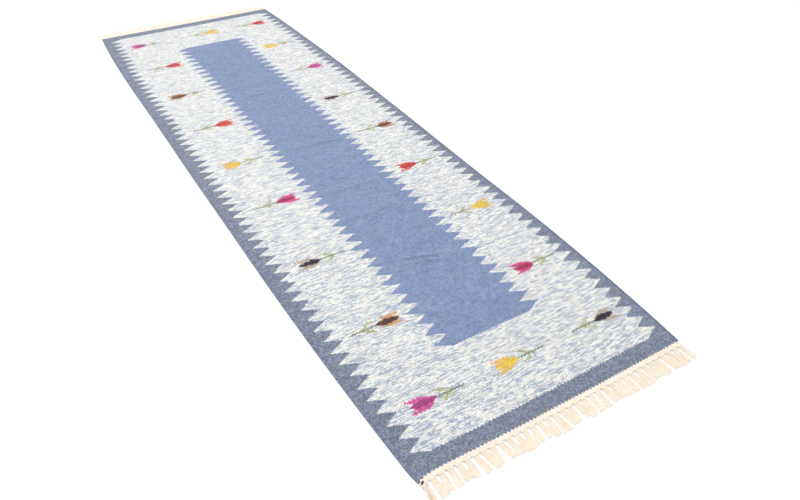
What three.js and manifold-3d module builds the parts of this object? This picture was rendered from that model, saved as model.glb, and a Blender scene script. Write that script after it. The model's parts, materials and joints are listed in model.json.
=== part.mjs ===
// Hand-woven runner rug, in millimetres, +Z up: X is its width and Y its length.
// The origin is on the floor under the middle of the rug. Every colour area of the
// cloth is woven with its own weft yarn, so each one is its own solid, and its
// neighbours stand a small gap away. Rows of woven teeth set out the pattern.
import * as THREE from 'three';
import { mergeVertices } from 'three/addons/utils/BufferGeometryUtils.js';
import Module from 'manifold-3d';

// Cloth.
const LENGTH = 2500; // between the two cream headings
const END_WIDTH = 752; // over both selvedges, at the ends
const BOW = 26; // how far each long side swells out at mid length
const THICKNESS = 5; // flat weave
const GAP = 0.3; // between neighbouring pieces
const SIDE_STEP = 60; // longest straight stretch along a bowed side

// Slate frame, with its selvedge cords.
const SELVEDGE = 6.5; // cord diameter
const CORD_CHAMFER = 2; // takes the corners off the cord's section
const BAND_FRONT = 44; // plain band across the front end
const BAND_BACK = 42;
const BORDER_LEFT = 22.5; // solid strip between the cord and the teeth
const BORDER_RIGHT = 10.5;
const TOOTH = 43; // how far a tooth reaches inwards
const ROWS = 60; // teeth along each side

// Centre field, which the white field goes round.
const LANE = 153.5; // white cloth between facing teeth, at the ends
const CENTRE_SHIFT = 7.5; // how far it stands to the right of the lanes' middle
const CENTRE_TAPER = 16; // how much narrower it is at the back than at the front
const CENTRE_TOOTH = 46;
const CENTRE_START = 5.5; // rows of white before it and after it
const CENTRE_END = ROWS - CENTRE_START;

// The weaver beat the front half a little looser than the back half.
const LOOSE_MIDDLE = 13;
const LOOSE_FRONT = 7;

// Tulips, one flower lying along X.
const HEAD = 70; // from the stem to the tips of the petals
const HEAD_HALF = 20; // half the width over the petals
const STEM_HALF = 2.5;
const TULIP_CLEAR = 4; // from a flower's ends to the teeth of its lane
const COLUMN_SHIFT = 5; // how far both columns stand to the right of their lanes' middle
const ODD_TULIP = 15; // how far the middle one at the back stands to the right
const LEAF_ROOT = 44; // behind the head, where the leaves leave the stem
const LEAF_TIP = 4; // behind the head
const LEAF_HALF = 19;
const LEAF_WIDTH = 16; // along the stem
const SHOULDER_AT = 0.2; // share of the head where the petals' outer edge turns
const SHOULDER_HALF = 0.62; // and its share of the half width there
const FULL_AT = 0.42; // share of the head where it is full width
const PETAL_TIP = 0.97; // share of the head that the inner side of a petal's tip reaches
const PETAL_TIP_HALF = 0.76;
const NOTCH_AT = 0.76; // share of the head where petals and heart part
const NOTCH_HALF = 0.56;
const HEART_AT = 0.9; // share of the head that the heart reaches
const HEART_HALF = 0.12;

// Cream cotton ends.
const HEADING = 10; // woven heading between the cloth and the fringe
const FRINGE = 51; // from the heading to the tassels' ends
const KNOT = 5; // depth of the row of knots
const SECTIONS = 12; // lengths of fringe at each end
const TASSELS = 3; // in each section
const NECK_HALF = 4.5;
const TASSEL_HALF = 7;

const SLATE = 0x6f7d97;
const PERIWINKLE = 0x7f93c2;
const SELVEDGE_BLUE = 0x7386b0;
const OFF_WHITE = 0xe4e4e2;
const CREAM = 0xf3e4cd;
const MAGENTA = 0xb8408e;
const YELLOW = 0xf2bf45;
const RED = 0xd04a50;
const PINK = 0xd94f86;
const BROWN = 0x7a4d3c;
const BEIGE = 0xd9a77d;
const BLACK = 0x3a3440;

const PITCH = (LENGTH - BAND_FRONT - BAND_BACK) / ROWS;
const STEM = LANE - 2 * TULIP_CLEAR - HEAD; // the lane's width, less the head
const HEADING_Y = LENGTH / 2 + HEADING;

const wasm = await Module();
wasm.setup();

const rug = new THREE.Group();

// Where pattern row r lies along the length.
function rowY(r) {
  const t = THREE.MathUtils.clamp((r - CENTRE_START) / (CENTRE_END - CENTRE_START), 0, 1);
  const loose = LOOSE_MIDDLE * Math.sin(Math.PI * t) + LOOSE_FRONT * Math.sin(2 * Math.PI * t);
  return BAND_FRONT - LENGTH / 2 + r * PITCH + loose;
}

// Half the rug's width at a place along its length. Only the ends draw in.
function halfWidth(y) {
  return END_WIDTH / 2 + BOW * (1 - (2 * y / LENGTH) ** 4);
}

// How far in from the outer edge a side border's teeth start and end.
function borderSolid(side) {
  return SELVEDGE + (side < 0 ? BORDER_LEFT : BORDER_RIGHT);
}

// A tooth points into the white at every whole row, and white points out half way.
const toothAt = (row) => Number.isInteger(row);

function borderEdge(side, row) {
  const inwards = borderSolid(side) + (toothAt(row) ? TOOTH : 0);
  return side * (halfWidth(rowY(row)) - inwards);
}

function centreEdge(side, row) {
  const tip = END_WIDTH / 2 - borderSolid(side) - TOOTH - LANE + side * CENTRE_SHIFT;
  const narrower = CENTRE_TAPER / 2 * (row / ROWS - 0.5);
  return side * ((toothAt(row) ? tip : tip - CENTRE_TOOTH) - narrower);
}

// A zigzag line, half a row at a time.
function zigzag(edge, side, from, to) {
  const points = [];
  for (let row = from; row <= to; row += 0.5) {
    points.push(new THREE.Vector2(edge(side, row), rowY(row)));
  }
  return points;
}

// A long side's bowed line, a distance in from the outer edge.
function sideLine(side, from, to, inwards) {
  const points = [];
  const steps = Math.ceil((to - from) / SIDE_STEP);
  for (let i = 0; i <= steps; i += 1) {
    const y = THREE.MathUtils.lerp(from, to, i / steps);
    points.push(new THREE.Vector2(side * (halfWidth(y) - inwards), y));
  }
  return points;
}

function counterClockwise(points) {
  return THREE.ShapeUtils.isClockWise(points) ? [...points].reverse() : points;
}

// Moves every edge of an outline inwards, or outwards if the distance is negative.
function inset(points, distance) {
  const ring = counterClockwise(points);
  const inward = (a, b) => new THREE.Vector2(a.y - b.y, b.x - a.x).normalize();
  return ring.map((point, i) => {
    const before = inward(ring[(i + ring.length - 1) % ring.length], point);
    const after = inward(point, ring[(i + 1) % ring.length]);
    const miter = before.clone().add(after).multiplyScalar(1 / (1 + before.dot(after)));
    return point.clone().addScaledVector(miter, distance);
  });
}

// A plate with a flat outline, from one height to another.
function plate(outline, bottom, top) {
  const shape = new THREE.Shape(outline);
  const geometry = new THREE.ExtrudeGeometry(shape, { depth: top - bottom, bevelEnabled: false });
  return geometry.translate(0, 0, bottom);
}

function toSolid(geometry) {
  geometry.deleteAttribute('normal');
  geometry.deleteAttribute('uv');
  const merged = mergeVertices(geometry);
  return new wasm.Manifold(new wasm.Mesh({
    numProp: 3,
    vertProperties: merged.attributes.position.array,
    triVerts: new Uint32Array(merged.index.array),
  }));
}

function toGeometry(solid) {
  const mesh = solid.getMesh();
  const geometry = new THREE.BufferGeometry();
  geometry.setAttribute('position', new THREE.BufferAttribute(mesh.vertProperties, 3));
  geometry.setIndex(new THREE.BufferAttribute(mesh.triVerts, 1));
  return geometry;
}

// A flat piece on the floor. It stands half the gap back from its own outline, and
// the cloth round an inlay stands half the gap back from the inlay's outline.
function flatPiece(name, outline, colour, inlays = []) {
  const piece = plate(inset(outline, GAP / 2), 0, THICKNESS);
  if (inlays.length === 0) {
    add(name, piece, colour);
    return;
  }
  const holes = inlays.map((inlay) => toSolid(plate(inset(inlay, -GAP / 2), -1, THICKNESS + 1)));
  const cloth = holes.reduce((solid, hole) => solid.subtract(hole), toSolid(piece));
  add(name, toGeometry(cloth), colour);
}

function add(name, geometry, colour) {
  const material = new THREE.MeshStandardMaterial({ color: colour, roughness: 0.95, metalness: 0 });
  const mesh = new THREE.Mesh(geometry, material);
  mesh.name = name;
  rug.add(mesh);
}

// One tulip's outline, its petals pointing to the left or right (heading -1 or 1).
// The petals' outer edges swell from the stem, and a notch on each side of the heart
// parts them at the tip.
function tulipOutline({ x, row, heading }) {
  const half = [
    [-STEM, STEM_HALF],
    [-LEAF_ROOT, STEM_HALF],
    [-LEAF_TIP - LEAF_WIDTH, LEAF_HALF],
    [-LEAF_TIP, LEAF_HALF],
    [LEAF_WIDTH - LEAF_ROOT, STEM_HALF],
    [0, STEM_HALF],
    [HEAD * SHOULDER_AT, HEAD_HALF * SHOULDER_HALF],
    [HEAD * FULL_AT, HEAD_HALF],
    [HEAD, HEAD_HALF],
    [HEAD * PETAL_TIP, HEAD_HALF * PETAL_TIP_HALF],
    [HEAD * NOTCH_AT, HEAD_HALF * NOTCH_HALF],
    [HEAD * HEART_AT, HEAD_HALF * HEART_HALF],
  ];
  const mirrored = half.map(([u, v]) => [u, -v]).reverse();
  const middle = (HEAD - STEM) / 2;
  return [...half, ...mirrored].map(([u, v]) => (
    new THREE.Vector2(x + heading * (u - middle), rowY(row) + v)
  ));
}

// The tulips of a column stand above each other near the middle of their lane of
// white. The end rows have one more, in the middle between the borders.
const tipAt = (side, y) => side * (halfWidth(y) - borderSolid(side) - TOOTH);
const columnX = (side) => (tipAt(side, 0) + centreEdge(side, ROWS / 2)) / 2 + COLUMN_SHIFT;
const endX = (side) => (tipAt(side, LENGTH / 2) + centreEdge(side, ROWS / 2)) / 2;
const middleX = (tipAt(-1, LENGTH / 2) + tipAt(1, LENGTH / 2)) / 2;

const TULIPS = [
  { name: 'tulip_front_left', x: endX(-1), row: 2.8, heading: -1, colour: MAGENTA },
  { name: 'tulip_front_middle', x: middleX, row: 2.8, heading: -1, colour: YELLOW },
  { name: 'tulip_front_right', x: endX(1), row: 2.8, heading: 1, colour: BLACK },
  { name: 'tulip_left_1', x: columnX(-1), row: 9.1, heading: 1, colour: BEIGE },
  { name: 'tulip_left_2', x: columnX(-1), row: 16.2, heading: -1, colour: BLACK },
  { name: 'tulip_left_3', x: columnX(-1), row: 23.7, heading: 1, colour: PINK },
  { name: 'tulip_left_4', x: columnX(-1), row: 30.3, heading: -1, colour: YELLOW },
  { name: 'tulip_left_5', x: columnX(-1), row: 37.2, heading: 1, colour: RED },
  { name: 'tulip_left_6', x: columnX(-1), row: 44.2, heading: -1, colour: BROWN },
  { name: 'tulip_left_7', x: columnX(-1), row: 51, heading: 1, colour: RED },
  { name: 'tulip_right_1', x: columnX(1), row: 8.9, heading: -1, colour: PINK },
  { name: 'tulip_right_2', x: columnX(1), row: 15.9, heading: 1, colour: YELLOW },
  { name: 'tulip_right_3', x: columnX(1), row: 23.2, heading: -1, colour: RED },
  { name: 'tulip_right_4', x: columnX(1), row: 30, heading: 1, colour: BROWN },
  { name: 'tulip_right_5', x: columnX(1), row: 37, heading: -1, colour: BLACK },
  { name: 'tulip_right_6', x: columnX(1), row: 44.1, heading: 1, colour: MAGENTA },
  { name: 'tulip_right_7', x: columnX(1), row: 50.9, heading: -1, colour: YELLOW },
  { name: 'tulip_back_left', x: endX(-1), row: 57.3, heading: -1, colour: MAGENTA },
  { name: 'tulip_back_middle', x: middleX + ODD_TULIP, row: 57.4, heading: 1, colour: YELLOW },
  { name: 'tulip_back_right', x: endX(1), row: 57.4, heading: 1, colour: RED },
];

function tulips() {
  TULIPS.forEach((tulip) => flatPiece(tulip.name, tulipOutline(tulip), tulip.colour));
}

// The holes that a stretch of the white field leaves for its tulips.
function inlaysOf(prefix) {
  return TULIPS.filter((tulip) => tulip.name.startsWith(prefix)).map(tulipOutline);
}

// Plain slate bands that start and end the weaving.
function endBands() {
  const bands = [
    ['end_band_front', -LENGTH / 2, rowY(0)],
    ['end_band_back', rowY(ROWS), LENGTH / 2],
  ];
  bands.forEach(([name, from, to]) => {
    const left = sideLine(-1, from, to, SELVEDGE);
    const right = sideLine(1, from, to, SELVEDGE);
    flatPiece(name, [...right, ...left.reverse()], SLATE);
  });
}

function sideBorder(name, side) {
  const outer = sideLine(side, rowY(0), rowY(ROWS), SELVEDGE);
  const teeth = zigzag(borderEdge, side, 0, ROWS);
  flatPiece(name, [...outer, ...teeth.reverse()], SLATE);
}

// The white field: one stretch across each end and one lane along each side.
function whiteField() {
  const ends = [
    ['field_front', 'tulip_front', 0, CENTRE_START],
    ['field_back', 'tulip_back', CENTRE_END, ROWS],
  ];
  ends.forEach(([name, inlays, from, to]) => {
    const left = zigzag(borderEdge, -1, from, to);
    const right = zigzag(borderEdge, 1, from, to);
    flatPiece(name, [...right, ...left.reverse()], OFF_WHITE, inlaysOf(inlays));
  });
  const lanes = [
    ['field_left', 'tulip_left', -1],
    ['field_right', 'tulip_right', 1],
  ];
  lanes.forEach(([name, inlays, side]) => {
    const outer = zigzag(borderEdge, side, CENTRE_START, CENTRE_END);
    const inner = zigzag(centreEdge, side, CENTRE_START, CENTRE_END);
    flatPiece(name, [...outer, ...inner.reverse()], OFF_WHITE, inlaysOf(inlays));
  });
}

function centreField() {
  const left = zigzag(centreEdge, -1, CENTRE_START, CENTRE_END);
  const right = zigzag(centreEdge, 1, CENTRE_START, CENTRE_END);
  flatPiece('centre_field', [...right, ...left.reverse()], PERIWINKLE);
}

// The cord that binds a long side, with its section's corners taken off.
function selvedge(name, side) {
  const outer = sideLine(side, -LENGTH / 2, LENGTH / 2, 0);
  const inner = sideLine(side, -LENGTH / 2, LENGTH / 2, SELVEDGE);
  const outline = inset([...outer, ...inner.reverse()], GAP / 2 + CORD_CHAMFER);
  const geometry = new THREE.ExtrudeGeometry(new THREE.Shape(outline), {
    depth: SELVEDGE - 2 * CORD_CHAMFER,
    bevelSize: CORD_CHAMFER,
    bevelThickness: CORD_CHAMFER,
    bevelSegments: 1,
  });
  geometry.translate(0, 0, CORD_CHAMFER);
  add(name, geometry, SELVEDGE_BLUE);
}

// The cream heading across one end (-1 front, 1 back).
function heading(name, end) {
  const half = END_WIDTH / 2;
  const outline = [
    new THREE.Vector2(-half, end * LENGTH / 2),
    new THREE.Vector2(half, end * LENGTH / 2),
    new THREE.Vector2(half, end * HEADING_Y),
    new THREE.Vector2(-half, end * HEADING_Y),
  ];
  flatPiece(name, outline, CREAM);
}

// One length of fringe: a row of knots against the heading, and flat tassels.
function fringe(name, end, section) {
  const width = END_WIDTH / SECTIONS;
  const start = section * width - END_WIDTH / 2;
  const outline = [[start + width, 0], [start, 0], [start, KNOT]];
  for (let i = 0; i < TASSELS; i += 1) {
    const middle = start + (i + 0.5) * width / TASSELS;
    outline.push(
      [middle - NECK_HALF, KNOT],
      [middle - TASSEL_HALF, (KNOT + FRINGE) / 2],
      [middle - TASSEL_HALF, FRINGE],
      [middle + TASSEL_HALF, FRINGE],
      [middle + TASSEL_HALF, (KNOT + FRINGE) / 2],
      [middle + NECK_HALF, KNOT],
    );
  }
  outline.push([start + width, KNOT]);
  const points = outline.map(([x, out]) => new THREE.Vector2(x, end * (HEADING_Y + out)));
  flatPiece(name, points, CREAM);
}

endBands();
sideBorder('side_border_left', -1);
sideBorder('side_border_right', 1);
whiteField();
centreField();
tulips();
selvedge('selvedge_left', -1);
selvedge('selvedge_right', 1);
heading('heading_front', -1);
heading('heading_back', 1);
for (let i = 0; i < SECTIONS; i += 1) {
  const number = String(i + 1).padStart(2, '0');
  fringe(`fringe_front_${number}`, -1, i);
  fringe(`fringe_back_${number}`, 1, i);
}

export default rug;
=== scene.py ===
import bisect
import json
import math
import random
import bpy
import numpy as np
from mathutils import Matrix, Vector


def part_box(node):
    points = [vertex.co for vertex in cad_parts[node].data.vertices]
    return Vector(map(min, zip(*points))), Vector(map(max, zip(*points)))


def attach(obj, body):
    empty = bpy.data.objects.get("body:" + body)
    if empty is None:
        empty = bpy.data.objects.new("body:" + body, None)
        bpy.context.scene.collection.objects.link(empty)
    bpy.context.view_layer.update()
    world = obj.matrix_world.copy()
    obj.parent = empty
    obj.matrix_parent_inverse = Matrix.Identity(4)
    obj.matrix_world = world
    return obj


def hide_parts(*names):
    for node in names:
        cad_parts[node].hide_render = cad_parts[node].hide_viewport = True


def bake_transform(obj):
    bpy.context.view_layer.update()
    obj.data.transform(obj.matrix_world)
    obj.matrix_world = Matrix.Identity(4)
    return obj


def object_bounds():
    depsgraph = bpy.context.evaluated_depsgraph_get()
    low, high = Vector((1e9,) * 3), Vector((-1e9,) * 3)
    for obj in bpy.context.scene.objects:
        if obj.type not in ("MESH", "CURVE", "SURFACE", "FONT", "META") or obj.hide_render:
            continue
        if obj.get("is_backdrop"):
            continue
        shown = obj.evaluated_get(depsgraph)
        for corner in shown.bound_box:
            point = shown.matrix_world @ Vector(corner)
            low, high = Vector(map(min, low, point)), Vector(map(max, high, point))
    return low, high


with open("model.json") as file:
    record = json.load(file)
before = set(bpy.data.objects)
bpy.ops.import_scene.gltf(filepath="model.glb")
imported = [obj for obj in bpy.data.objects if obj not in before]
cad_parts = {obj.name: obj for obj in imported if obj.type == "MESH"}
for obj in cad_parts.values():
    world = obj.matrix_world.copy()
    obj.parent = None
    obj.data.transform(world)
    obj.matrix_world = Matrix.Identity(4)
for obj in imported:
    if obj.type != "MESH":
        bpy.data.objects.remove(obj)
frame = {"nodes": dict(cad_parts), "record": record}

cad_low, cad_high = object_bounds()
bpy.ops.object.select_all(action="DESELECT")
MM = 0.001

# ---------------------------------------------------------------------------
# Headings. A strip of cream cotton, woven first and last, that keeps the wool from
# sliding off the warp. The warp runs through the whole rug, hidden by the weft, and
# shows as a rib over every thread. Ribs stand straight in the middle of the rug and
# spread towards its sides, which bow out.
# ---------------------------------------------------------------------------
RIBS = 148  # across the cloth, between the side cords
EDGE_RIBS = 1  # more of them each side, under the ends of the cords
PICK = 2.5 * MM  # a row of weft; it shows over every other rib, two rows high
HEADING_PICKS = 4
RIB_LINES = 3  # lines of the mesh to a rib: the groove and two shoulders
SHOULDERS = (0.0, 0.27, 0.73)
GROOVE = 0.75 * MM
LINE_EVERY = 10  # picks between two lines of the mesh across the rug
STRAIGHT_HALF = 160 * MM  # ribs nearer the middle than this don't spread

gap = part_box("heading_back")[0].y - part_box("end_band_back")[1].y
cloth_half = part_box("heading_back")[0].y - gap / 2
end_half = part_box("heading_back")[1].x + gap / 2
bow = cad_high.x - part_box("heading_back")[1].x
cord_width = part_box("selvedge_left")[1].z
cloth_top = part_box("centre_field")[1].z
inner_half = end_half - cord_width
rib_width = 2 * inner_half / RIBS
cloth_picks = round(2 * cloth_half / PICK)


def side_at(y):
    """Half the rug's width, over the cords. Only its ends draw in."""
    return end_half + bow * np.maximum(1 - (y / cloth_half) ** 4, 0)


def spread(across, y):
    """Where a place across the warp stands at a place along the rug."""
    beyond = np.maximum(np.abs(across) - STRAIGHT_HALF, 0)
    wider = (side_at(y) - cord_width - STRAIGHT_HALF) / (inner_half - STRAIGHT_HALF)
    return np.sign(across) * (np.minimum(np.abs(across), STRAIGHT_HALF) + beyond * wider)


# How the rug has come to lie: shifted sideways at its middle, its front edge pulled
# out at the left corner, with low waves along the sides and creases from folding.
SHIFT = 4 * MM
BACK_SHIFT = 4 * MM
BACK_SHIFT_AT = 500 * MM
SWELL = 3 * MM  # of the right side, near the front
SWELL_AT = 400 * MM
SPREAD_ALONG = 350 * MM  # how far along the rug a shift or swell dies away
CORNER = 5 * MM  # how far the left side swells just behind the corner
CORNER_START = 20 * MM
CORNER_ALONG = 120 * MM
PULL = 14 * MM
PULL_START = 20 * MM
PULL_ALONG = 250 * MM
PULL_DEEP = 300 * MM
WAVE = 1.1 * MM
ENDS_LIE_FLAT = 50 * MM  # the waves die away over this, inside and outside each end
CREASE_HALF = 1.8  # its mesh is finer over this many widths each side
CREASES = [  # from the front end, from the middle, half as long, how high, how wide, slant
    (1920 * MM, -25 * MM, 40 * MM, 1.4 * MM, 6 * MM, 0.0),
    (1694 * MM, -15 * MM, 40 * MM, 2.6 * MM, 6 * MM, 0.0),
    (1378 * MM, 85 * MM, 55 * MM, 1.8 * MM, 6 * MM, 0.2),
    (1260 * MM, 50 * MM, 130 * MM, 1.8 * MM, 7 * MM, 0.1),
    (977 * MM, 0.0, 120 * MM, 1.2 * MM, 7 * MM, 0.0),
    (828 * MM, 20 * MM, 120 * MM, 1.2 * MM, 7 * MM, 0.0),
    (584 * MM, 8 * MM, 55 * MM, 2.8 * MM, 6 * MM, 0.3),
    (560 * MM, 14 * MM, 50 * MM, 2.4 * MM, 6 * MM, 0.3),
]


def creases(x, y):
    """Each crease at some places: how high it is, and how far off in its own widths."""
    for place, middle, half, high, wide, slant in CREASES:
        away = (y + cloth_half - place + slant * (x - middle)) / wide
        yield high * np.exp(-away ** 2) * np.exp(-((x - middle) / half) ** 4), away


def lay(points):
    """Lays points of the flat rug on the floor as it lies."""
    x, y, z = np.array(points, float).reshape(-1, 3).T
    sideways = SHIFT + BACK_SHIFT * np.exp(-((y - BACK_SHIFT_AT) / SPREAD_ALONG) ** 2)
    from_front = np.maximum(y + cloth_half, 0)
    to_right, to_left = np.clip(x / end_half, 0, 1), np.clip(-x / end_half, 0, 1)
    swell = SWELL * to_right * np.exp(-((from_front - SWELL_AT) / SPREAD_ALONG) ** 2)
    starts = 1 - np.exp(-from_front / CORNER_START)
    swell -= CORNER * to_left * starts * np.exp(-from_front / CORNER_ALONG)
    inside = np.clip((cloth_half + ENDS_LIE_FLAT - np.abs(y)) / ENDS_LIE_FLAT, 0, 1)
    reach = np.maximum(x + end_half, 0)
    pulled = PULL * np.exp(-reach / PULL_ALONG) * (1 - np.exp(-reach / PULL_START))
    deep = np.exp(-from_front / PULL_DEEP)
    outer = 0.25 + 0.75 * (x / end_half) ** 2
    wave = 2 + np.sin(y / 0.098 + 5 * x) + np.sin(y / 0.163 - 3 * x + 2)
    lift = WAVE * outer * wave / 2
    for high, away in creases(x, y):
        lift = lift + high
    return np.stack([
        x + swell + sideways * np.maximum(1 - (y / cloth_half) ** 2, 0),
        y + pulled * deep,
        z + np.maximum(lift, 0) * inside,
    ], axis=1)


# One row of weft goes over the even ribs and the next goes over the odd ones, so a
# change of yarn is notched by a pick from rib to rib. These arrays hold, for each rib
# and pick, the row of weft that shows there, and that row's place.
first_pick = -HEADING_PICKS
rib_numbers = np.arange(-EDGE_RIBS, RIBS + EDGE_RIBS)[:, None]
pick_numbers = np.arange(first_pick, cloth_picks + HEADING_PICKS)[None, :]
row_shown = pick_numbers + (rib_numbers + pick_numbers) % 2
row_y = row_shown * PICK - cloth_half
rib_across = (rib_numbers + 0.5) * rib_width - inner_half
rib_x = spread(rib_across + 0 * row_y, row_y)
on_cloth = (rib_numbers >= 0) & (rib_numbers < RIBS) & (row_shown > 0) & (row_shown < cloth_picks)

crease_picks = set()
for place, middle, half, high, wide, slant in CREASES:
    aside = CREASE_HALF * wide + slant * half
    crease_picks |= {round((place + a) / PICK) for a in np.arange(-aside, aside + PICK, 2 * PICK)}
even_picks = set(range(first_pick, cloth_picks + HEADING_PICKS, LINE_EVERY))
mesh_lines = sorted(even_picks | crease_picks)


CREASE_FULL = 2.5 * MM  # a crease this high has the full painted shade


def weave(name, yarn):
    """A piece of cloth. `yarn` numbers its yarn over each rib and pick, and is -1 where
    the cloth isn't this piece. Neighbouring ribs share the groove between them."""
    runs, levels = [], {}
    for rib in range(yarn.shape[0]):
        changes = np.flatnonzero(np.diff(yarn[rib], prepend=-1, append=-1))
        for start, end in zip(changes[:-1], changes[1:]):
            if yarn[rib, start] < 0:
                continue
            low, high = int(start) + first_pick, int(end) + first_pick
            runs.append((rib, low, high, int(yarn[rib, start])))
            first, last = bisect.bisect_right(mesh_lines, low), bisect.bisect_left(mesh_lines, high)
            inner = mesh_lines[first:last]
            for line in range(RIB_LINES * rib, RIB_LINES * (rib + 1) + 1):
                levels.setdefault(line, set()).update((low, high, *inner))

    number, places = {}, []
    for line in sorted(levels):
        levels[line] = sorted(levels[line])
        for level in levels[line]:
            number[line, level] = len(places)
            places.append((line, level))

    faces, yarns = [], []
    for rib, low, high, this in runs:
        for line in range(RIB_LINES * rib, RIB_LINES * (rib + 1)):
            left, right = (
                side[bisect.bisect_left(side, low):bisect.bisect_right(side, high)]
                for side in (levels[line], levels[line + 1])
            )
            i = j = 0
            while i < len(left) - 1 or j < len(right) - 1:
                up_left = left[i + 1] if i < len(left) - 1 else math.inf
                up_right = right[j + 1] if j < len(right) - 1 else math.inf
                face = [number[line, left[i]], number[line + 1, right[j]]]
                if up_right <= up_left:
                    j += 1
                    face.append(number[line + 1, right[j]])
                if up_left <= up_right:
                    i += 1
                    face.append(number[line, left[i]])
                faces.append(face)
                yarns.append(this)

    # The underside repeats the top, and a wall joins them round every edge.
    count = len(places)
    outer = {}
    for face, this in zip(faces, yarns):
        for a, b in zip(face, face[1:] + face[:1]):
            if outer.pop((b, a), None) is None:
                outer[a, b] = this
    under = [[v + count for v in reversed(face)] for face in faces]
    walls = [[b, a, a + count, b + count] for a, b in outer]
    yarns = yarns + yarns + list(outer.values())

    line, level = np.array(places).T
    rib, shoulder = np.divmod(line, RIB_LINES)
    across = (rib - EDGE_RIBS + np.array(SHOULDERS)[shoulder]) * rib_width - inner_half
    y = level * PICK - cloth_half
    x = spread(across, y)
    dip = np.where(shoulder == 0, GROOVE, 0)
    top = np.stack([x, y, cloth_top - dip], axis=1)
    bottom = np.stack([x, y, dip], axis=1)

    mesh = bpy.data.meshes.new(name)
    mesh.from_pydata(lay(np.concatenate([top, bottom])), [], faces + under + walls)
    mesh.polygons.foreach_set("material_index", yarns)
    corners = np.zeros(len(mesh.loops), int)
    mesh.loops.foreach_get("vertex_index", corners)
    flat = np.stack([across, y], axis=1)[corners % count]
    mesh.uv_layers.new(name="warp and weft").data.foreach_set("uv", flat.ravel())
    # The creases are too low to show by light alone, so their shade is painted on the
    # top of the cloth: dark towards the front end of the rug, pale towards the back end.
    dark = sum(high / CREASE_FULL * (0.35 - 0.8 * away) for high, away in creases(x, y))
    crease = mesh.attributes.new("crease", "FLOAT", "POINT")
    crease.data.foreach_set("value", np.concatenate([dark, 0 * dark]))
    piece = bpy.data.objects.new(name, mesh)
    bpy.context.collection.objects.link(piece)
    round_off(piece, 50)
    return piece


def round_off(piece, angle):
    bpy.ops.object.select_all(action="DESELECT")
    piece.select_set(True)
    bpy.context.view_layer.objects.active = piece
    bpy.ops.object.shade_smooth_by_angle(angle=math.radians(angle))
    piece.select_set(False)


def step(tree, kind, inputs, **settings):
    """Adds a node to a material, with its settings, and what goes into it."""
    made = tree.nodes.new(kind)
    for key, value in settings.items():
        setattr(made, key, value)
    for key, value in inputs.items():
        if isinstance(value, bpy.types.NodeSocket):
            tree.links.new(value, made.inputs[key])
        else:
            made.inputs[key].default_value = value
    return made


def sums(tree, operation, *values):
    """A Math node's result."""
    return step(tree, "ShaderNodeMath", dict(enumerate(values)), operation=operation).outputs[0]


def plain_weave():
    """Weft over warp, from a place across the warp and along the rug. A row of weft
    shows as a bead over every other rib. Colour that was dyed into the yarn follows
    the row: `Streaks` shows over every other rib, and `Lines` runs on across them all."""
    tree = bpy.data.node_groups.new("plain weave", "ShaderNodeTree")
    socket = tree.interface.new_socket
    socket("Place", in_out="INPUT", socket_type="NodeSocketVector")
    for name, value in (("Streak", 0.03), ("Seed", 0.0)):
        socket(name, in_out="INPUT", socket_type="NodeSocketFloat").default_value = value
    for name in ("Bead", "Streaks", "Lines", "Tint", "Patches", "Fibre", "Uneven"):
        socket(name, in_out="OUTPUT", socket_type="NodeSocketFloat")
    given = tree.nodes.new("NodeGroupInput").outputs
    place = step(tree, "ShaderNodeSeparateXYZ", {0: given["Place"]}).outputs
    # Whole ribs and picks, counted from far outside the rug so that none is negative.
    ribs = sums(tree, "ADD", sums(tree, "DIVIDE", place[0], rib_width), 1000 + RIBS / 2)
    picks = sums(tree, "ADD", sums(tree, "DIVIDE", place[1], PICK), 1000 + cloth_picks / 2)
    rib, pick = sums(tree, "FLOOR", ribs), sums(tree, "FLOOR", picks)
    over = sums(tree, "MODULO", sums(tree, "ADD", rib, pick), 2)
    row = sums(tree, "ADD", pick, over)
    from_row = sums(tree, "SUBTRACT", picks, row)
    from_rib = sums(tree, "MULTIPLY_ADD", sums(tree, "FRACT", ribs), 2, -1)
    outwards = sums(tree, "MULTIPLY", from_rib, from_rib)
    tall = sums(tree, "MULTIPLY", from_row, sums(tree, "MULTIPLY_ADD", outwards, 0.45, 0.95))
    arch = sums(tree, "MAXIMUM", sums(tree, "SUBTRACT", 1, sums(tree, "MULTIPLY", tall, tall)), 0)
    bead = sums(tree, "MULTIPLY", arch, sums(tree, "MULTIPLY_ADD", outwards, -0.6, 1))
    seed = sums(tree, "MULTIPLY_ADD", given["Seed"], 17.3, 3.1)

    def noise(across, along, detail, layer):
        deep = sums(tree, "ADD", seed, layer)
        at = step(tree, "ShaderNodeCombineXYZ", {0: across, 1: along, 2: deep}).outputs[0]
        inputs = {"Vector": at, "Scale": 1.0, "Detail": detail}
        return step(tree, "ShaderNodeTexNoise", inputs).outputs[0]

    def scaled(value, by, operation="MULTIPLY"):
        return sums(tree, operation, value, by)

    def flecks(long, wide, detail, layer):
        across, along = scaled(place[0], long, "DIVIDE"), scaled(place[1], wide, "DIVIDE")
        return noise(across, along, detail, layer)

    along_yarn = sums(tree, "DIVIDE", place[0], given["Streak"])
    streaks = noise(along_yarn, scaled(row, 2.37), 2.0, 0)
    lines = noise(scaled(along_yarn, 0.6), scaled(pick, 2.37), 2.0, 20)
    tint = noise(scaled(along_yarn, 0.6), scaled(row, 3.71), 1.0, 40)
    patches = flecks(0.09, 0.03, 3.0, 80)
    fibre = flecks(0.0011, 0.0006, 2.0, 120)
    cell = step(tree, "ShaderNodeCombineXYZ", {0: rib, 1: row, 2: seed}).outputs[0]
    uneven = step(tree, "ShaderNodeTexWhiteNoise", {"Vector": cell}).outputs[0]
    step(tree, "NodeGroupOutput", {
        "Bead": bead, "Streaks": streaks, "Lines": lines, "Tint": tint, "Patches": patches,
        "Fibre": fibre, "Uneven": uneven,
    })
    return tree


weave_group = plain_weave()


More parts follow.
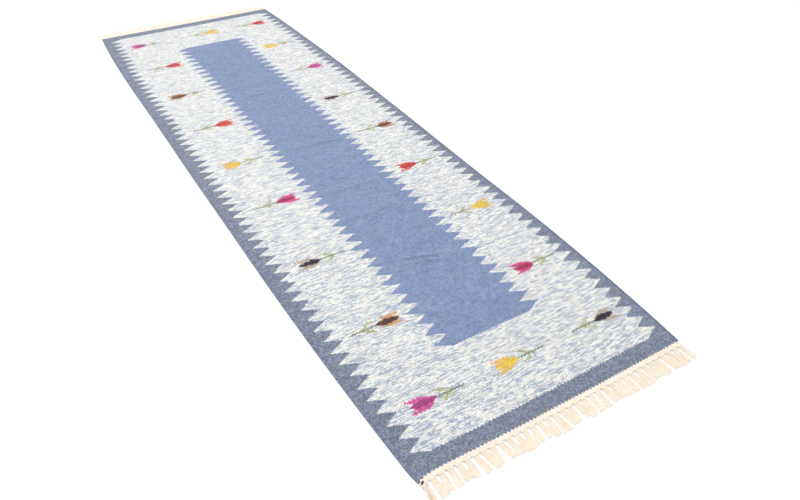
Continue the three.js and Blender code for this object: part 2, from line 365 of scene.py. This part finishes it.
def blend_colours(tree, share, plain, other, how="MIX"):
    made = step(tree, "ShaderNodeMix", {0: share, 6: plain, 7: other},
                data_type="RGBA", blend_type=how)
    return made.outputs[2]


def ramp(tree, value, low, high, to_low=0.0, to_high=1.0):
    made = step(tree, "ShaderNodeMapRange", {0: value, 1: low, 2: high, 3: to_low, 4: to_high},
                interpolation_type="SMOOTHSTEP")
    return made.outputs[0]


def linear(red, green, blue):
    """A colour as it looks, 0 to 255, as the light that it sends back."""
    light = [c / 255 for c in (red, green, blue)]
    return (*(c / 12.92 if c <= 0.04045 else ((c + 0.055) / 1.055) ** 2.4 for c in light), 1)


CREASE_SHADE = 0.3  # how much a crease's painted shade darkens the yarn, and its painted light pales it


def spin(name, main, second, second_share=(0.45, 0.6), second_amount=0.6,
         tint=None, tint_amount=0.3, streak=0.03, seed=0.0, rows=1.0, lines=0.5, patchy=0.5,
         shade=0.55, uneven=0.22, bead_height=0.5, sheen=0.3, fades=0.0):
    """Yarn, as it looks woven: its main colour, a second one that streaks it, and a
    tint over some rows. Painted shade makes it darker in the hollows between its beads.
    The streaks fade by the share `fades` towards the back end of the rug."""
    material = bpy.data.materials.new(name)
    material.use_nodes = True
    tree = material.node_tree
    principled = tree.nodes["Principled BSDF"]
    place = step(tree, "ShaderNodeUVMap", {}, uv_map="warp and weft").outputs[0]
    group = step(tree, "ShaderNodeGroup", {}, node_tree=weave_group)
    tree.links.new(place, group.inputs["Place"])
    group.inputs["Streak"].default_value = streak
    group.inputs["Seed"].default_value = seed
    out = group.outputs
    mottle = 0.5
    for wool_noise, weight in (("Streaks", rows), ("Lines", lines), ("Patches", patchy)):
        swing = sums(tree, "SUBTRACT", out[wool_noise], 0.5)
        mottle = sums(tree, "MULTIPLY_ADD", swing, weight, mottle)
    share = ramp(tree, mottle, *second_share, 0, second_amount)
    if fades:
        along = step(tree, "ShaderNodeSeparateXYZ", {0: place}).outputs[1]
        share = sums(tree, "MULTIPLY", share, ramp(tree, along, -0.9, 0.6, 1, 1 - fades))
    colour = blend_colours(tree, share, linear(*main), linear(*second))
    if tint:
        tinted = ramp(tree, out["Tint"], 0.5, 0.65, 0, tint_amount)
        colour = blend_colours(tree, tinted, colour, linear(*tint))
    # Painted shade: the yarn is darker in the hollows between its beads, by the share `shade`.
    painted_hollow_shade = sums(tree, "MULTIPLY_ADD", sums(tree, "SUBTRACT", 1, out["Bead"]), -shade, 1)
    own = ramp(tree, out["Uneven"], 0, 1, 1 - uneven, 1 + uneven)
    fibres = ramp(tree, out["Fibre"], 0.3, 0.7, 0.93, 1.05)
    # The yarn's own uneven tone and fibres, times the painted shade of the hollows.
    tone_and_painted_shade = sums(tree, "MULTIPLY", sums(tree, "MULTIPLY", painted_hollow_shade, own), fibres)
    # The creases' painted shade and painted light: darker on their front side, paler on their back
    # side.
    crease = step(tree, "ShaderNodeAttribute", {}, attribute_name="crease").outputs["Fac"]
    tone_and_painted_shade = sums(tree, "MULTIPLY", tone_and_painted_shade, sums(tree, "MULTIPLY_ADD", crease, -CREASE_SHADE, 1))
    dim = step(tree, "ShaderNodeCombineColor", {0: tone_and_painted_shade, 1: tone_and_painted_shade, 2: tone_and_painted_shade}).outputs[0]
    colour = blend_colours(tree, 1.0, colour, dim, "MULTIPLY")
    tree.links.new(colour, principled.inputs["Base Color"])
    rough = ramp(tree, out["Fibre"], 0.3, 0.7, 0.85, 1.0)
    tree.links.new(rough, principled.inputs["Roughness"])
    height = sums(tree, "MULTIPLY_ADD", out["Fibre"], 0.25, out["Bead"])
    bump = step(tree, "ShaderNodeBump", {
        "Height": height, "Distance": bead_height * MM, "Strength": 1.0})
    tree.links.new(bump.outputs[0], principled.inputs["Normal"])
    principled.inputs["Specular IOR Level"].default_value = 0.2
    principled.inputs["Sheen Weight"].default_value = sheen
    principled.inputs["Sheen Roughness"].default_value = 0.5
    return material


cream_cotton = spin("cream cotton heading", (255, 245, 231), (255, 237, 216),
                    seed=1, shade=0.06, uneven=0.03, bead_height=0.2, sheen=0.1)

for end, shown in (("front", row_shown <= 0), ("back", row_shown >= cloth_picks)):
    node = "heading_" + end
    yarn = np.where(shown, 0, -1)
    strip = weave(node + "_strip", yarn)
    strip.data.materials.append(cream_cotton)
    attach(strip, "cloth")
    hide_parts(node)

# ---------------------------------------------------------------------------
# Slate frame. Plain bands start and end the wool, and between them the side borders
# are woven with a tooth at every row of the pattern. The wool is carded from blue
# and grey, so it looks heathered.
# ---------------------------------------------------------------------------
slate_wool = spin("slate wool", (152, 163, 185), (124, 136, 164), tint=(166, 172, 188),
                  streak=0.012, lines=1.0, patchy=0.3, seed=2)


def outline(node):
    """The edges round a flat CAD piece's top, each as x, y, x, y."""
    mesh = frame["nodes"][node].data
    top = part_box(node)[1].z - 0.01 * MM
    corners = [tuple(round(c, 6) for c in v.co) for v in mesh.vertices]
    edges = set()
    for face in mesh.polygons:
        ring = [corners[v] for v in face.vertices]
        if all(corner[2] > top for corner in ring):
            for a, b in zip(ring, ring[1:] + ring[:1]):
                if (b, a) in edges:
                    edges.remove((b, a))
                else:
                    edges.add((a, b))
    return np.array([(*a[:2], *b[:2]) for a, b in edges])


def within(node):
    """The ribs and picks that a CAD piece covers."""
    low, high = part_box(node)
    near = on_cloth & (rib_x > low.x) & (rib_x < high.x) & (row_y > low.y) & (row_y < high.y)
    x, y = rib_x[near], row_y[near]
    crossed = np.zeros(x.shape, bool)
    for x1, y1, x2, y2 in outline(node):
        if y1 != y2:
            crossed ^= ((y1 > y) != (y2 > y)) & (x < x1 + (y - y1) * (x2 - x1) / (y2 - y1))
    found = np.zeros(on_cloth.shape, bool)
    found[near] = crossed
    return found


claimed = ~on_cloth
band_front = on_cloth & (row_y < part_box("end_band_front")[1].y + gap / 2)
band_back = on_cloth & (row_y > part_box("end_band_back")[0].y - gap / 2)
slate_areas = {
    "end_band_front": band_front,
    "end_band_back": band_back,
    "side_border_left": within("side_border_left") & ~band_front & ~band_back,
    "side_border_right": within("side_border_right") & ~band_front & ~band_back,
}
for node, area in slate_areas.items():
    claimed |= area
    yarn = np.where(area, 0, -1)
    cloth = weave(node + "_cloth", yarn)
    cloth.data.materials.append(slate_wool)
    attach(cloth, "cloth")
    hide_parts(node)

# ---------------------------------------------------------------------------
# Selvedges. At each side the weft turns round a bundle of warp threads, which makes
# a thick wrapped cord with a ridge for every turn.
# ---------------------------------------------------------------------------
CORD_SIDES = 12
TURN = 5 * MM  # one turn of weft, out and back
RINGS_TO_TURN = 3
CORD_RIDGE = 0.35 * MM
RIDGE_SLANT = 0.8
CORD_END, END_STEP = 0.6, 0.2  # share of the radius at the very end, and more at each ring
selvedge_wool = spin("selvedge wool", (150, 161, 186), (124, 138, 168), streak=0.01, seed=3)

for side, name in ((-1, "left"), (1, "right")):
    node = "selvedge_" + name
    rings = int(2 * cloth_half / TURN) * RINGS_TO_TURN
    y = np.linspace(-cloth_half, cloth_half, rings + 1)
    middle = side * (side_at(y) - cord_width / 2)
    around = np.arange(CORD_SIDES) * 2 * math.pi / CORD_SIDES
    slant = (y / TURN * 2 * math.pi)[:, None] + side * RIDGE_SLANT * np.cos(around)[None, :]
    radius = cord_width / 2 - CORD_RIDGE * (0.5 - 0.5 * np.cos(slant))
    ring = np.arange(rings + 1)
    from_end = np.minimum(ring, rings - ring)[:, None]
    radius *= np.minimum(1, CORD_END + from_end * END_STEP)
    x = middle[:, None] + radius * np.cos(around)
    z = cord_width / 2 + radius * np.sin(around)
    points = np.stack([x, y[:, None] + 0 * x, z], axis=2).reshape(-1, 3)
    faces = [
        [(r + 1) * CORD_SIDES + s, (r + 1) * CORD_SIDES + (s + 1) % CORD_SIDES,
         r * CORD_SIDES + (s + 1) % CORD_SIDES, r * CORD_SIDES + s]
        for r in range(rings) for s in range(CORD_SIDES)
    ]
    last_ring = [rings * CORD_SIDES + s for s in reversed(range(CORD_SIDES))]
    faces += [list(range(CORD_SIDES)), last_ring]
    mesh = bpy.data.meshes.new(node + "_cord")
    mesh.from_pydata(lay(points), [], faces)
    corners = np.zeros(len(mesh.loops), int)
    mesh.loops.foreach_get("vertex_index", corners)
    flat = np.stack([
        side * inner_half + (around / math.pi)[None, :] * cord_width + 0 * x, y[:, None] + 0 * x,
    ], axis=2).reshape(-1, 2)[corners]
    mesh.uv_layers.new(name="warp and weft").data.foreach_set("uv", flat.ravel())
    mesh.materials.append(selvedge_wool)
    cord = bpy.data.objects.new(node + "_cord", mesh)
    bpy.context.collection.objects.link(cord)
    round_off(cord, 60)
    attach(cord, "cloth")
    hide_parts(node)

# ---------------------------------------------------------------------------
# Tulips. Each is laid in by hand with its own lengths of yarn while the white round
# it is woven: a leaf-shaped heart between two petals, on a stem with two leaves.
# ---------------------------------------------------------------------------
HEAD = 70 * MM  # from the stem to the tips of the petals
HEART = 66 * MM
HEART_HALF = 8.5 * MM
HEART_MORE = 0.8 * MM  # keeps its two ends a rib wide
HEART_BASE = -2 * MM
STEM_HALF = 2.6 * MM
FLOWER_YARNS = {  # the petals' colour and the heart's
    "magenta_wool": ((240, 108, 180), (186, 76, 144)),
    "yellow_wool": ((255, 208, 122), (255, 222, 90)),
    "black_wool": ((206, 190, 178), (52, 46, 66)),
    "beige_wool": ((228, 178, 135), (92, 62, 50)),
    "pink_wool": ((240, 92, 155), (185, 52, 95)),
    "red_wool": ((238, 106, 90), (210, 56, 65)),
    "brown_wool": ((204, 156, 126), (116, 68, 46)),
}
slot_of = {row["node"]: row["material_slot"] for row in frame["record"]["subparts"]}
tulip_nodes = sorted(node for node in frame["nodes"] if node.startswith("tulip_"))



def flower_yarn(slot, part, colour, seed):
    """A flower's yarn, streaked with a shade a tenth darker."""
    name = slot.replace("_wool", " " + part)
    darker = tuple(c * 0.9 for c in colour)
    return spin(name, colour, darker, streak=0.02, shade=0.35, uneven=0.12, seed=seed)


petal_yarns, heart_yarns = {}, {}
for i, (slot, (petal, heart)) in enumerate(FLOWER_YARNS.items()):
    petal_yarns[slot] = flower_yarn(slot, "petals", petal, 5 + i)
for i, (slot, (petal, heart)) in enumerate(FLOWER_YARNS.items()):
    heart_yarns[slot] = flower_yarn(slot, "heart", heart, 15 + i)

stem_area = np.zeros(on_cloth.shape, bool)
leaf_area = np.zeros(on_cloth.shape, bool)
for node in tulip_nodes:
    low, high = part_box(node)
    middle = (low + high) / 2
    corners = np.array([v.co for v in frame["nodes"][node].data.vertices])
    widest = np.abs(corners[:, 1] - middle.y) > 0.98 * (high.y - middle.y)
    heading = 1 if corners[widest, 0].mean() > middle.x else -1
    tip = high.x if heading > 0 else low.x
    up = heading * (rib_x - tip) + HEAD  # from the foot of the head
    out = np.abs(row_y - middle.y)
    area = within(node)
    claimed |= area
    share = np.clip((up - HEART_BASE) / (HEART - HEART_BASE), 0, 1)
    heart_edge = HEART_HALF * np.sin(math.pi * share ** 0.85) ** 0.8 + HEART_MORE
    heart = (up > HEART_BASE) & (out < heart_edge) & (up < HEART)
    head = area & (up > HEART_BASE)
    stem_area |= area & ~head & (out < STEM_HALF)
    leaf_area |= area & ~head & (out >= STEM_HALF)
    flower = weave(node + "_flower", np.where(head, np.where(heart, 1, 0), -1))
    slot = slot_of[node]
    flower.data.materials.append(petal_yarns[slot])
    flower.data.materials.append(heart_yarns[slot])
    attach(flower, "cloth")
    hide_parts(node)

stem_yarn = spin("stem wool", (164, 172, 146), (122, 144, 130), streak=0.012, seed=31)
leaf_yarn = spin("leaf wool", (222, 224, 184), (200, 208, 160), streak=0.015, seed=32)
for name, area, material in (("stem", stem_area, stem_yarn), ("leaf", leaf_area, leaf_yarn)):
    green = weave("tulip_" + name + "_yarn", np.where(area, 0, -1))
    green.data.materials.append(material)
    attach(green, "cloth")

# ---------------------------------------------------------------------------
# Centre field: periwinkle wool, woven as one plain area with a toothed edge.
# ---------------------------------------------------------------------------
centre_area = within("centre_field") & ~claimed
claimed |= centre_area
periwinkle_wool = spin("periwinkle wool", (153, 173, 213), (130, 153, 200),
                       tint=(168, 186, 220), streak=0.015, rows=0.6, lines=1.5, patchy=0.5,
                       shade=0.5, uneven=0.14, seed=4)
yarn = np.where(centre_area, 0, -1)
centre = weave("centre_field_cloth", yarn)
centre.data.materials.append(periwinkle_wool)
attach(centre, "cloth")
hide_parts("centre_field")

# ---------------------------------------------------------------------------
# White field. Its thick white yarn is dyed light blue in short lengths, which come
# out as dashes along the rows. It fills all that the other yarns leave.
# ---------------------------------------------------------------------------
white_wool = spin("mottled white wool", (255, 255, 252), (187, 199, 218),
                  second_share=(0.45, 0.66), second_amount=1.0, tint=(255, 247, 230),
                  tint_amount=0.4, streak=0.016, shade=0.32, uneven=0.1, rows=0.4,
                  lines=1.9, patchy=0.15, sheen=0.1, fades=0.25)
yarn = np.where(on_cloth & ~claimed, 0, -1)
white = weave("white_field_cloth", yarn)
white.data.materials.append(white_wool)
white_nodes = ["field_front", "field_back", "field_left", "field_right"]
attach(white, "cloth")
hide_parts(*white_nodes)

# ---------------------------------------------------------------------------
# Fringe. The warp ends are gathered in tassels, each drawn through an overhand knot
# against the heading, and cut to about the same length. Three tassels make one piece.
# ---------------------------------------------------------------------------
TASSELS = 3
STRANDS = 15
STRAND = 1.05 * MM  # radius
STRAND_SIDES = 5
STRAND_STEPS = 10
KNOT_AT = 2.5 * MM  # beyond the heading
KNOT_HALF = 5.4 * MM

cotton = bpy.data.materials.new("cream cotton fringe")
cotton.use_nodes = True
tree = cotton.node_tree
principled = tree.nodes["Principled BSDF"]
place = step(tree, "ShaderNodeSeparateXYZ", {
    0: step(tree, "ShaderNodeUVMap", {}, uv_map="warp and weft").outputs[0]}).outputs
slope = sums(tree, "ADD", sums(tree, "MULTIPLY", place[1], 2600), place[0])
twist = sums(tree, "MULTIPLY_ADD", sums(tree, "SINE", slope), 0.5, 0.5)
whole = step(tree, "ShaderNodeTexCoord", {}).outputs["Object"]
uneven = step(tree, "ShaderNodeTexNoise", {
    "Vector": whole, "Scale": 90.0, "Detail": 3.0}).outputs[0]
pale, cream = linear(255, 247, 236), linear(255, 240, 222)
colour = blend_colours(tree, ramp(tree, uneven, 0.35, 0.65), pale, cream)
# Painted shade in the twist's grooves: the cream is a little darker where the twist is low.
colour = blend_colours(tree, ramp(tree, twist, 0, 0.6, 0.2, 0), colour, linear(250, 230, 206))
tree.links.new(colour, principled.inputs["Base Color"])
tree.links.new(ramp(tree, uneven, 0.3, 0.7, 0.85, 1.0), principled.inputs["Roughness"])
bump = step(tree, "ShaderNodeBump", {"Height": twist, "Distance": 0.15 * MM, "Strength": 1.0})
tree.links.new(bump.outputs[0], principled.inputs["Normal"])
principled.inputs["Specular IOR Level"].default_value = 0.2


def thread(made, points, radii):
    """Adds a thread along a line of points to what is made so far."""
    sides = STRAND_SIDES
    points = np.array(points, float)
    ahead = np.gradient(points, axis=0)
    ahead /= np.linalg.norm(ahead, axis=1)[:, None]
    side = np.cross(ahead, (0.0, 0.0, 1.0))
    side /= np.maximum(np.linalg.norm(side, axis=1)[:, None], 1e-9)
    over = np.cross(side, ahead)
    turn = np.arange(sides) * 2 * math.pi / sides
    radii = np.array(radii)[:, None, None] * np.ones((len(points), 1, 1))
    ring = points[:, None] + radii * (
        np.cos(turn)[None, :, None] * side[:, None] + np.sin(turn)[None, :, None] * over[:, None])
    start = len(made["points"])
    made["points"].extend(ring.reshape(-1, 3))
    along = np.concatenate([[0], np.cumsum(np.linalg.norm(np.diff(points, axis=0), axis=1))])
    made["flat"].extend((a, b) for b in along for a in turn)
    last = start + (len(points) - 1) * sides
    for r in range(len(points) - 1):
        for s in range(sides):
            a, b = start + r * sides + s, start + r * sides + (s + 1) % sides
            made["faces"].append([a, b, b + sides, a + sides])
    made["faces"].append([start + s for s in reversed(range(sides))])
    made["faces"].append([last + s for s in range(sides)])


def tassel(made, rng, across, end, pitch, lean, length, flare):
    """One tassel, from the heading's edge outwards, with its knot."""
    edge = cloth_half + HEADING_PICKS * PICK
    for strand in range(STRANDS):
        a = -1 + 2 * (strand + 0.5) / STRANDS + rng.uniform(-0.04, 0.04)
        layer = (strand * 7) % 3
        long = length * rng.uniform(0.9, 1.03)
        wander, phase = rng.uniform(0.3, 1.1) * MM, rng.uniform(0, 6)
        points, radii = [], []
        for i in range(STRAND_STEPS + 1):
            d = -1.5 * MM + (long + 1.5 * MM) * (i / STRAND_STEPS) ** 1.25
            free = max(0.0, (d - KNOT_AT) / (long - KNOT_AT))
            if d < KNOT_AT:
                near = 1 - max(d, 0) / KNOT_AT
                half = KNOT_HALF + (pitch / 2 - KNOT_HALF) * near ** 1.3
            else:
                half = KNOT_HALF + (flare - KNOT_HALF) * free ** 0.75
            x = across + lean * free ** 1.4 + a * half + wander * math.sin(phase + 5 * free) * free
            rest = STRAND + layer * 1.3 * MM * (1 - 0.5 * free)
            held = 3.1 * MM + (layer - 1) * 1.2 * MM
            drop = min(1.0, max(0.0, d) / (16 * MM))
            z = held + (rest - held) * drop ** 1.5
            points.append((x, end * (edge + d), z))
            radii.append(STRAND * (1.0 if i < STRAND_STEPS else 0.75))
        thread(made, points, radii)
    # The knot: two turns round the neck, one rising as the other falls.
    for start, tilt in ((0.0, 1.0), (2.1, -1.0)):
        points = []
        for i in range(13):
            t = start + i / 12 * 2.15 * math.pi
            points.append((
                across + (KNOT_HALF + 0.9 * MM) * math.cos(t),
                end * (edge + KNOT_AT + tilt * 0.9 * MM * math.sin(t + 0.6)),
                2.9 * MM + 2.3 * MM * math.sin(t),
            ))
        thread(made, points, [1.1 * MM] * len(points))


def finish_threads(name, made, material):
    mesh = bpy.data.meshes.new(name)
    points = lay(np.array(made["points"]))
    points[:, 2] = np.maximum(points[:, 2], 0.1 * MM)
    mesh.from_pydata(points, [], made["faces"])
    corners = np.zeros(len(mesh.loops), int)
    mesh.loops.foreach_get("vertex_index", corners)
    flat = np.array(made["flat"])[corners]
    mesh.uv_layers.new(name="warp and weft").data.foreach_set("uv", flat.ravel())
    mesh.materials.append(material)
    piece = bpy.data.objects.new(name, mesh)
    bpy.context.collection.objects.link(piece)
    round_off(piece, 70)
    return piece


rng = random.Random(7)
sections = sorted(node for node in frame["nodes"] if node.startswith("fringe_front"))
for end, name in ((-1, "front"), (1, "back")):
    for number in range(1, len(sections) + 1):
        node = f"fringe_{name}_{number:02d}"
        low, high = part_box(node)
        wide = (high.x - low.x + gap) / TASSELS
        made = {"points": [], "faces": [], "flat": []}
        for i in range(TASSELS):
            across = low.x - gap / 2 + (i + 0.5) * wide
            lean = rng.uniform(-8, 8) * MM
            length = rng.uniform(44, 52) * MM
            flare = rng.uniform(8, 13) * MM
            if end < 0 and number == 1 and i == 0:
                lean, length, flare = -8 * MM, 56 * MM, 9 * MM
            tassel(made, rng, across, end, wide, lean, length, flare)
        if node == "fringe_front_01":
            # A loose end trails from the corner.
            start = np.array([low.x + 3 * MM, high.y + 1 * MM, 2.2 * MM])
            trail = [
                start + (-44 * MM * t ** 1.3, -66 * MM * t, -1.3 * MM * min(1, 4 * t))
                for t in np.linspace(0, 1, 10)
            ]
            thread(made, trail, [0.9 * MM] * 10)
        fringe = finish_threads(node + "_tassels", made, cotton)
        middle = (low.x + high.x) / 2
        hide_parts(node)
        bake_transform(fringe)

# ---------------------------------------------------------------------------
# Corner binding. A few turns of brown wool bind off the front left corner, round the
# end of the heading.
# ---------------------------------------------------------------------------
made = {"points": [], "faces": [], "flat": []}
corner = (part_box("fringe_front_01")[0].x + 6 * MM, -cloth_half - 5 * MM)
for turn in range(3):
    round_it = np.linspace(0, 2 * math.pi, 15)
    thread(made, np.stack([
        corner[0] + (turn - 1) * 2.6 * MM + 1.2 * MM * np.sin(round_it),
        corner[1] + 2.6 * MM * np.cos(round_it),
        2.9 * MM + 2.9 * MM * np.sin(round_it),
    ], axis=1), [1.2 * MM] * 15)
binding = finish_threads("corner_binding", made, heart_yarns["brown_wool"])
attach(binding, "cloth")

# ---------------------------------------------------------------------------
# Studio: a white floor, an even white light and a large soft lamp.
# ---------------------------------------------------------------------------
def background_ray(tree):
    """1 for a ray that meets the background straight on, in a gloss or through glass."""
    ray = tree.nodes.new("ShaderNodeLightPath").outputs
    mirrored = sums(tree, "MAXIMUM", ray["Is Glossy Ray"], ray["Is Transmission Ray"])
    return sums(tree, "MAXIMUM", ray["Is Camera Ray"], mirrored)


bpy.ops.mesh.primitive_plane_add(size=16, location=(0, 0, 0))
floor = bpy.context.object
floor.name = "studio_floor"
floor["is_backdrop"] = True
paper = bpy.data.materials.new("white paper")
paper.use_nodes = True
tree = paper.node_tree
tree.nodes.remove(tree.nodes["Principled BSDF"])
matt = step(tree, "ShaderNodeBsdfDiffuse", {"Color": (0.8, 0.8, 0.8, 1)}).outputs[0]
dull = step(tree, "ShaderNodeBsdfDiffuse", {"Color": (0.4, 0.4, 0.4, 1)}).outputs[0]
glow = step(tree, "ShaderNodeEmission", {"Color": (1, 1, 1, 1), "Strength": 0.7}).outputs[0]
seen = step(tree, "ShaderNodeAddShader", {0: dull, 1: glow}).outputs[0]
direct = background_ray(tree)
mixed = step(tree, "ShaderNodeMixShader", {0: direct, 1: matt, 2: seen}).outputs[0]
tree.links.new(mixed, tree.nodes["Material Output"].inputs["Surface"])
floor.data.materials.append(paper)

world = bpy.data.worlds.new("studio")
bpy.context.scene.world = world
world.use_nodes = True
tree = world.node_tree
direct = background_ray(tree)
strength = step(tree, "ShaderNodeMapRange", {0: direct, 1: 0.0, 2: 1.0, 3: 0.66, 4: 1.0}).outputs[0]
tree.links.new(strength, tree.nodes["Background"].inputs["Strength"])
tree.nodes["Background"].inputs["Color"].default_value = (1, 1, 1, 1)

# It hangs high, a little behind and to the left of the rug's middle.
glow = bpy.data.lights.new("soft lamp", "AREA")
glow.shape = "SQUARE"
glow.size = 3
glow.energy = 150
lamp = bpy.data.objects.new("soft lamp", glow)
lamp.location = (-1.3, 1.0, 4.8)
lamp.rotation_euler = (-lamp.location).to_track_quat("-Z", "Y").to_euler()
bpy.context.collection.objects.link(lamp)

lens = bpy.data.cameras.new("camera")
lens.lens = 31.27
lens.sensor_width = 36
camera = bpy.data.objects.new("camera", lens)
camera.location = (-0.8367, -1.8649, 1.2176 + cloth_top)
camera.rotation_euler = [math.radians(a) for a in (50.781, -1.378, -31.877)]
bpy.context.collection.objects.link(camera)
bpy.context.scene.camera = camera
bpy.context.scene.view_settings.view_transform = "Standard"

low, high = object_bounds()
